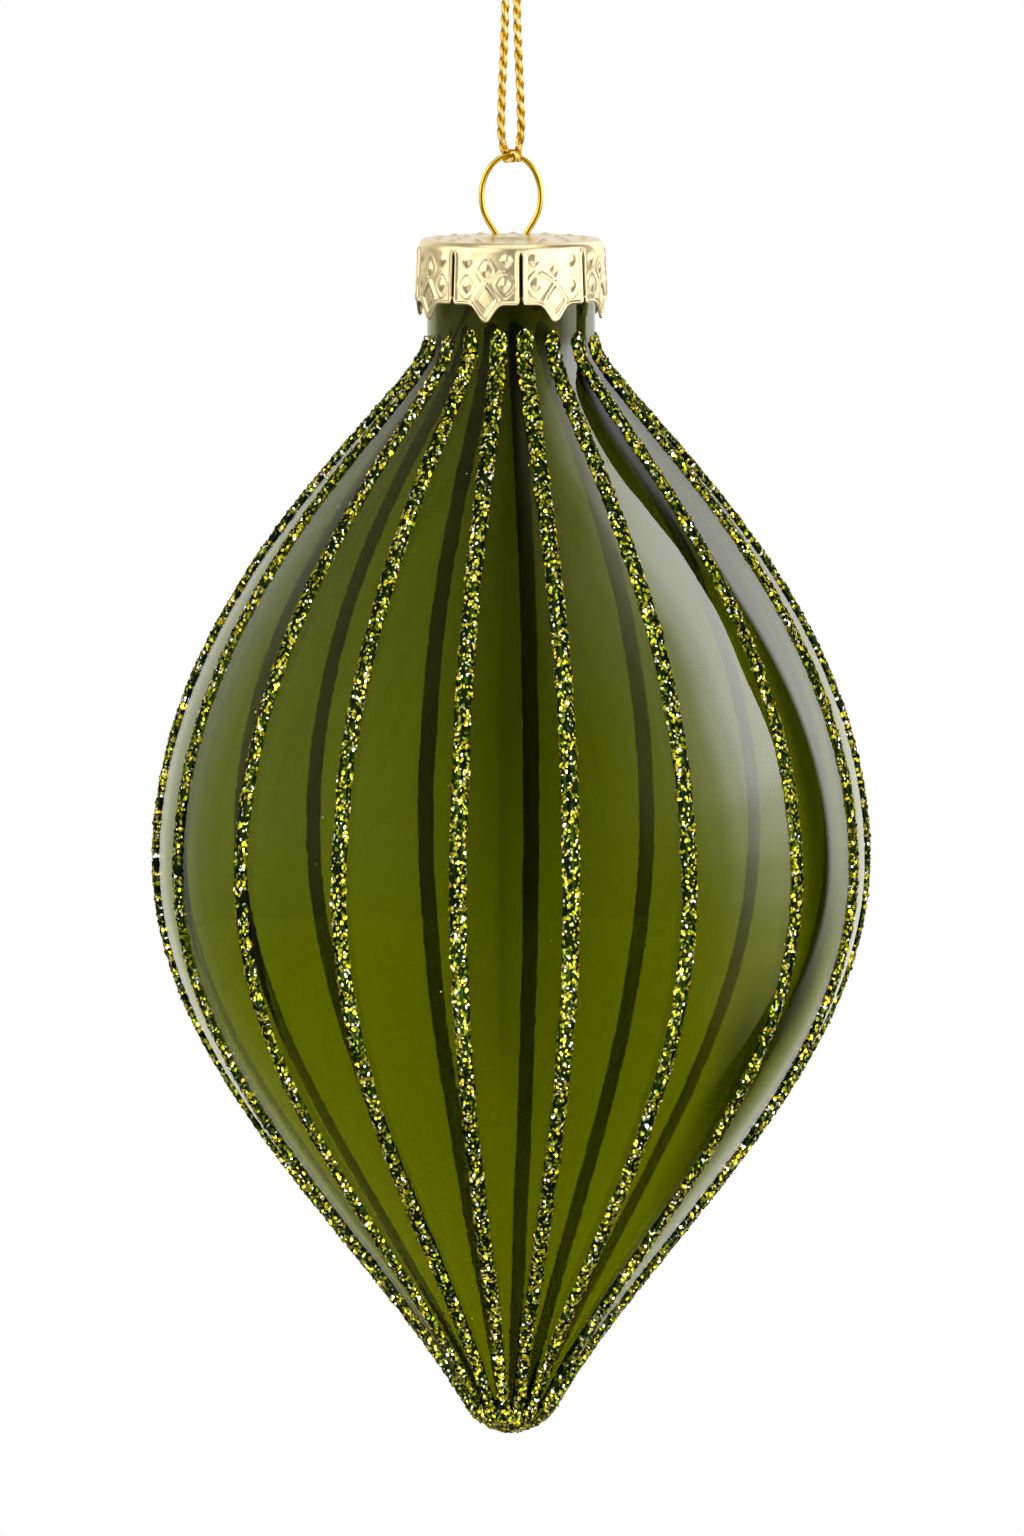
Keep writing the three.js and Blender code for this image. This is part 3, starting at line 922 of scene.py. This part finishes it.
def topRelief(x, y):
    # Low diamonds round the top, and a raised middle
    distance = math.hypot(x, y)
    rise = (cap["bossRadius"] + cap["bossEdge"] / 2 - distance) / cap["bossEdge"]
    height = cap["bossHeight"] * smoothStep(rise)
    turn = math.atan2(y, x)
    for count, radius, size, shift in cap["topDiamonds"]:
        sector = 2 * math.pi / count
        local = (turn - shift + sector / 2) % sector - sector / 2
        off = diamondDistance(local * radius, distance - radius, 0, 0, size, size * 0.8)
        height += dome(off, cap["diamondHeight"])
    return height


def makeCapMaterial():
    material, tree, shader, place = newMaterial("champagneMetal", Metallic=0.9, Roughness=0.29)
    colour = ramp(tree, speckled(tree, place, 260, 3), cap["colours"])
    top = cap["top"] * mm
    onTop = mapped(tree, partsOf(tree, place)["Z"], top - 0.4 * mm, top, 1.0, cap["topShade"])
    colour = mixed(tree, 1, colour, onTop, "MULTIPLY")
    dress(tree, shader, colour, speckled(tree, place, 5000, 2), *cap["relief"])
    return material


def stampPetals(bm):
    # Eight petals side by side, joined at their tops; gives back the edges of the upper rim
    petals, slitTop = cap["petals"], cap["slitTop"]
    upperRim, ends = set(), []
    for k in range(petals):
        centre = math.radians(cap["firstSlit"] + (k + 0.5) * 360 / petals)
        mirror = 1 if k % 2 else -1
        made = bmesh.ops.create_grid(bm, x_segments=cap["columns"], y_segments=cap["rows"], size=0.5)
        ends.append({})
        for vertex in made["verts"]:
            u, v = vertex.co.x * 2, vertex.co.y + 0.5
            x = petalHalf * u
            z = petalEdge(x) + (slitTop - petalEdge(x)) * v
            closing = smoothStep((z - slitTop + cap["slitEnd"]) / cap["slitEnd"]) * cap["slit"]
            turn = centre + (x + u * closing * cap["slitNarrowing"]) / cap["radius"]
            turn -= cap["frontSqueeze"] * math.sin(turn - math.radians(cap["firstSlit"]))
            flare = cap["flare"] * smoothStep((slitTop - z) / 6)
            reach = cap["radius"] + flare + petalRelief(x, z, mirror)
            vertex.co = Vector((math.sin(turn) * reach, -math.cos(turn) * reach, z)) * mm
            if v > 0.999:
                upperRim.add(vertex)
                if abs(u) > 0.999:
                    ends[k]["right" if u > 0 else "left"] = vertex
    for k in range(petals):
        bm.edges.new((ends[k]["right"], ends[(k + 1) % petals]["left"]))
    return [e for e in bm.edges if e.verts[0] in upperRim and e.verts[1] in upperRim]


def closeTop(bm, loop):
    # Rounds the rim inwards and closes it with the flat, embossed top
    size = cap["radius"] - cap["shoulder"]
    rings = []
    for i in range(1, 9):
        angle = math.pi / 2 * i / 8
        height = cap["slitTop"] + math.sin(angle) * (cap["top"] - cap["slitTop"])
        rings.append((cap["radius"] - cap["shoulder"] * (1 - math.cos(angle)), height))
    while size > 0.4:
        size -= cap["ringStep"]
        rings.append((size, cap["top"]))
    for reach, height in rings:
        made = bmesh.ops.extrude_edge_only(bm, edges=loop)["geom"]
        loop = [g for g in made if isinstance(g, bmesh.types.BMEdge) and g.is_boundary]
        for vertex in [g for g in made if isinstance(g, bmesh.types.BMVert)]:
            flat = Vector((vertex.co.x, vertex.co.y, 0)).normalized() * reach
            lift = topRelief(flat.x, flat.y) if height >= cap["top"] else 0
            vertex.co = Vector((flat.x, flat.y, height + lift)) * mm
    bmesh.ops.holes_fill(bm, edges=loop, sides=0)


def punchHoles(bm):
    # Two short slots in the top, one for each of the wire's legs
    holes = []
    for face in bm.faces:
        centre = face.calc_center_median() / mm
        near = min(max(abs(centre.x), cap["holeNear"]), cap["holeFar"])
        away = math.hypot(abs(centre.x) - near, centre.y)
        if centre.z > cap["top"] - 0.1 and away < cap["holeRadius"]:
            holes.append(face)
    bmesh.ops.delete(bm, geom=holes, context="FACES")


def makeCap():
    bm = bmesh.new()
    closeTop(bm, stampPetals(bm))
    punchHoles(bm)
    bmesh.ops.recalc_face_normals(bm, faces=bm.faces)
    stamped = newObject("stampedCap", bm, makeCapMaterial())
    wall = stamped.modifiers.new("sheet", "SOLIDIFY")
    wall.thickness = cap["sheet"] * mm
    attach(stamped, "cap")
    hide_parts("cap")
    print("cap made")


# Hanger: one polished wire, a ring above the cap and two sprung legs in the neck

hanger = {
    "diameter": 0.64,
    "ringMiddle": -34.21,
    "ringHalfWidth": 3.32,
    "ringHalfHeight": 4.54,
    "ringStart": -34,
    "leg": [
        (7.18, -54.6), (7.83, -53.85), (7.78, -52.8), (5.67, -48.7), (3.56, -44.6), (1.45, -40.5),
        (1.2, -39.55), (1.34, -39.05), (1.64, -38.61),
    ],
    # from its edges, 0, to a painted dark reflection that runs along its front and back, 1
    "colours": [
        (0, (0.94, 0.73, 0.17)), (0.82, (0.94, 0.71, 0.14)), (0.92, (0.72, 0.46, 0.03)),
        (0.97, (0.38, 0.2, 0.006)), (1, (0.35, 0.18, 0.005)),
    ],
    "roughness": (0.3, 0.36),
    "sides": 24,
    "step": 0.2,
    "ringPoints": 16,
}


def makeWireMaterial():
    material, tree, shader, place = newMaterial("polishedGoldWire", Metallic=1.0)
    # painted reflection: the wire is darker along its front and back and paler at its edges
    depth = calculated(tree, "ABSOLUTE", partsOf(tree, place)["Y"])
    colour = ramp(tree, mapped(tree, depth, 0.0, hanger["diameter"] / 2 * mm), hanger["colours"])
    rough = mapped(tree, speckled(tree, place, 500, 2), 0.3, 0.7, *hanger["roughness"])
    tree.links.new(colour, shader.inputs["Base Color"])
    tree.links.new(rough, shader.inputs["Roughness"])
    return material


def makeHanger():
    points = [Vector((x, 0, z)) for x, z in hanger["leg"]]
    steps = hanger["ringPoints"]
    for i in range(steps + 1):
        turn = math.radians(hanger["ringStart"] + (180 - 2 * hanger["ringStart"]) * i / steps)
        points.append(Vector((
            hanger["ringHalfWidth"] * math.cos(turn), 0,
            hanger["ringMiddle"] + hanger["ringHalfHeight"] * math.sin(turn),
        )))
    points += [Vector((-x, 0, z)) for x, z in hanger["leg"][::-1]]
    path = smoothPath([p * mm for p in points], hanger["step"] * mm)
    radius = hanger["diameter"] / 2 * mm
    bm = bmesh.new()
    addTube(bm, path, hanger["sides"], lambda share, angle: (radius, 0))
    wire = newObject("goldWireHanger", bm, makeWireMaterial())
    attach(wire, "hanger")
    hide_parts("hanger_wire")
    print("hanger made")


# Floor, white background and lamps

studio = {
    "floorHeight": -0.34,
    "floorRadius": 0.9,
    "floorColours": [(0.3, (0.788, 0.788, 0.77815)), (0.7, (0.8, 0.8, 0.79))],
    "floorGlow": 0.45,
    "diffuseLevel": 0.62,  # how strongly the white background lights the surfaces
    "warmth": 0.3,  # the share of blue left where the mirrored studio is darkest
    "mirrorScale": 4.0,
    "aim": -0.1,  # height that the lamps face and the card bends round
    "lamps": [
        # name, place, size and watts; those with glitter in their name light the glitter alone
        ("frontPanel", (-0.75, -0.95, 0.3), 1.1, 4.4),
        ("leftPanel", (-1.1, -0.25, 0.2), 1, 3.4),
        ("rightPanel", (0.8, -0.8, 0.05), 1.1, 6.0),
        ("sidePanel", (1.15, -0.1, 0.1), 0.9, 3.8),
        ("topPanel", (0, -0.45, 0.95), 1.3, 5.0),
        ("lowPanel", (0, -0.9, -0.9), 1.6, 8.4),
        ("glitterLeft", (-0.62, -0.95, 0.3), 0.46, 4.4),
        ("glitterRight", (0.5, -1.05, 0), 0.4, 3.8),
        ("glitterHigh", (0.12, -0.7, 0.85), 0.46, 3.6),
        ("glitterLow", (0, -0.85, -0.8), 0.6, 5.6),
        ("glitterLowLeft", (-0.8, -0.5, -0.75), 0.6, 6.0),
        ("glitterLowRight", (0.8, -0.5, -0.75), 0.6, 6.0),
    ],
    # how bright what the glass mirrors is, by azimuth in degrees from the front, the right positive
    "above": [
        (-140, 1), (-130, 0.7), (-116, 0.42), (-60, 0.26), (-25, 0.1), (-4, 0.01),
        (15, 0.01), (103, 0.02), (124, 0.02), (127, 2.8), (138, 2.1), (151, 1.2), (165, 1),
    ],
    "below": [
        (-160, 1), (-150, 0.6), (-140, 0.24), (-120, 0.1), (-100, 0.05), (-75, 0),
        (131, 0), (137, 0.25), (143, 0.5), (150, 1.05), (160, 1.3), (170, 1.2), (180, 1),
    ],
    "overhead": [
        (-180, 0.45), (-110, 0.28), (-80, 0.2), (-45, 0.16), (-20, 0.12), (-5, 0.02), (6, 0.02),
        (14, 0.1), (24, 0.3), (45, 0.36), (68, 0.26), (84, 0.08), (98, 0.03), (115, 0.02),
        (119, 0.6), (122, 2.6), (129, 3.2), (137, 1.3), (150, 0.5), (180, 0.45),
    ],
    # heights of the direction, -1 to 1, between which one gives way to the next
    "belowToAbove": (-0.55, 0.25),
    "aboveToOverhead": (0.5, 0.85),
    "stripLean": 6,  # how much further round the right edge's bright strip starts high up
    "leanFrom": (0.45, 0.8),
    # the card's azimuths and elevations in degrees, and its strength along them
    "card": {
        "from": 15, "to": 102, "foot": -52, "head": 84, "distance": 0.8, "strength": 6.5, "cells": 60,
        "across": [
            (15, 0.004), (30, 0.03), (50, 0.1), (60, 0.17), (70, 0.34), (80, 0.75), (88, 1), (102, 1),
        ],
        "upward": [
            (-50, 0), (-42, 0.03), (-38, 0.055), (-34, 0.09), (-28, 0.105), (-20, 0.15), (-6, 0.33),
            (5, 0.6), (15, 0.95), (26, 1), (45, 1), (57, 0.85), (64, 0.5), (72, 0.24), (84, 0.12),
        ],
        # how much further round it reaches at an elevation, in degrees
        "further": [
            (-52, 7), (-26, 7), (0, 0), (25, 0), (36, 5.4), (41, 6.9), (46, 5.6), (52, 3), (60, 4),
            (76, -20), (84, -20),
        ],
        "tint": [  # by brightness
            (0, (1, 0.98, 0.12)), (0.15, (1, 0.99, 0.52)), (0.4, (1, 0.99, 0.7)), (0.8, (1, 1, 0.92)),
            (1, (1, 1, 0.95)),
        ],
    },
}


def mirrored(tree, turn, stops):
    # Brightness by azimuth, warmer where it is dim
    colours = []
    for azimuth, level in stops:
        part = level / studio["mirrorScale"]
        colours.append(((azimuth + 180) / 360, (part, part, part * min(1, studio["warmth"] + level))))
    return ramp(tree, turn, colours)


def makeWorld():
    world = bpy.data.worlds.new("studio")
    scene.world = world
    scene.view_settings.view_transform = "Standard"
    world.use_nodes = True
    tree = world.node_tree
    parts = partsOf(tree, addNode(tree, "ShaderNodeTexCoord").outputs["Generated"])
    turn = turnShare(tree, parts)
    lean = mapped(tree, parts["Z"], *studio["leanFrom"], 0.0, studio["stripLean"] / 360)
    above = mirrored(tree, calculated(tree, "SUBTRACT", turn, lean), studio["above"])
    below = mirrored(tree, turn, studio["below"])
    overhead = mirrored(tree, turn, studio["overhead"])
    lifted = mapped(tree, parts["Z"], *studio["belowToAbove"], interpolation_type="SMOOTHSTEP")
    raised = mapped(tree, parts["Z"], *studio["aboveToOverhead"])
    around = mixed(tree, raised, mixed(tree, lifted, below, above), overhead)
    seen = seenRays(tree)
    level = mapped(tree, seen, 0.0, 1.0, studio["diffuseLevel"], 1.0)
    background = addNode(tree, "ShaderNodeBackground", {"Color": (1, 1, 1, 1), "Strength": level})
    glossy = addNode(tree, "ShaderNodeBackground", {"Color": around, "Strength": studio["mirrorScale"]})
    reflected = addNode(tree, "ShaderNodeLightPath").outputs["Is Glossy Ray"]
    onlyGlossy = calculated(tree, "SUBTRACT", reflected, seen, use_clamp=True)
    mix = addNode(tree, "ShaderNodeMixShader", {
        0: onlyGlossy, 1: background.outputs[0], 2: glossy.outputs[0],
    })
    tree.links.new(mix.outputs[0], tree.nodes["World Output"].inputs[0])


def makeFloor():
    material, tree, shader, place = newMaterial("paleFloor", Roughness=0.9)
    colour = ramp(tree, speckled(tree, place, 6, 2), studio["floorColours"])
    tree.links.new(colour, shader.inputs["Base Color"])
    glow = calculated(tree, "MULTIPLY", seenRays(tree), studio["floorGlow"])
    glowing = addGlow(tree, shader.outputs[0], (1, 1, 1, 1), glow)
    tree.links.new(glowing, tree.nodes["Material Output"].inputs[0])
    bm = bmesh.new()
    bmesh.ops.create_circle(
        bm, cap_ends=True, radius=studio["floorRadius"], segments=96,
        matrix=Matrix.Translation((0, 0, studio["floorHeight"])),
    )
    floor = newObject("floor", bm, material)
    floor.visible_glossy = floor.visible_shadow = False


def makeLamps(shell):
    # The lamps light all but the glass, which mirrors only the card and the studio
    sparkling = bpy.data.collections.new("lampsOnGlitter")
    for piece in bpy.data.objects:
        if piece.name.startswith("glitter"):
            sparkling.objects.link(piece)
    others = bpy.data.collections.new("lampsSkipGlass")
    others.objects.link(shell)
    others.collection_objects[0].light_linking.link_state = "EXCLUDE"
    middle = Vector((0, 0, studio["aim"]))
    for name, place, size, watts in studio["lamps"]:
        data = bpy.data.lights.new(name, "AREA")
        data.shape = "DISK"
        data.size = size
        data.energy = watts
        lamp = aimed(name, data, place, middle - Vector(place))
        onGlitter = name.startswith("glitter")
        lamp.light_linking.receiver_collection = sparkling if onGlitter else others


def between(stops, place):
    # A smooth value from a table
    for (a, low), (b, high) in zip(stops, stops[1:]):
        if place <= b:
            return low + (high - low) * smoothStep((place - a) / (b - a))
    return stops[-1][1]


def makeCard(shell):
    # A tall bent card to the right, brighter towards its far side, for the glass alone
    card = studio["card"]
    material = bpy.data.materials.new("softboxCard")
    material.use_nodes = True
    tree = material.node_tree
    tree.nodes.clear()
    glow = attribute(tree, "glow")
    tint = ramp(tree, glow, card["tint"])
    strength = calculated(tree, "MULTIPLY", glow, card["strength"])
    clear = addNode(tree, "ShaderNodeBsdfTransparent").outputs[0]
    addNode(tree, "ShaderNodeOutputMaterial", {0: addGlow(tree, clear, tint, strength)})
    bm = bmesh.new()
    layer = bm.verts.layers.float.new("glow")
    made = bmesh.ops.create_grid(bm, x_segments=card["cells"], y_segments=card["cells"], size=0.5)
    for vertex in made["verts"]:
        u, v = vertex.co.x + 0.5, vertex.co.y + 0.5
        raised = card["foot"] + (card["head"] - card["foot"]) * v
        along = card["from"] + (card["to"] - card["from"]) * u
        turn = math.radians(along + between(card["further"], raised) * u)
        flat = card["distance"] * math.cos(math.radians(raised))
        height = card["distance"] * math.sin(math.radians(raised)) + studio["aim"]
        vertex.co = (math.sin(turn) * flat, -math.cos(turn) * flat, height)
        place = along if raised > 0 else math.degrees(turn)
        vertex[layer] = between(card["across"], place) * between(card["upward"], raised)
    board = newObject("softboxCard", bm, material)
    board.visible_camera = board.visible_diffuse = board.visible_transmission = False
    board.visible_shadow = False
    only = bpy.data.collections.new("cardOnGlass")
    only.objects.link(shell)
    board.light_linking.receiver_collection = only


makeCamera()
makeCord()
shell = makeGlass()
makeGlitter()
makeCap()
makeHanger()
makeWorld()
makeFloor()
makeLamps(shell)
makeCard(shell)
print("studio made")
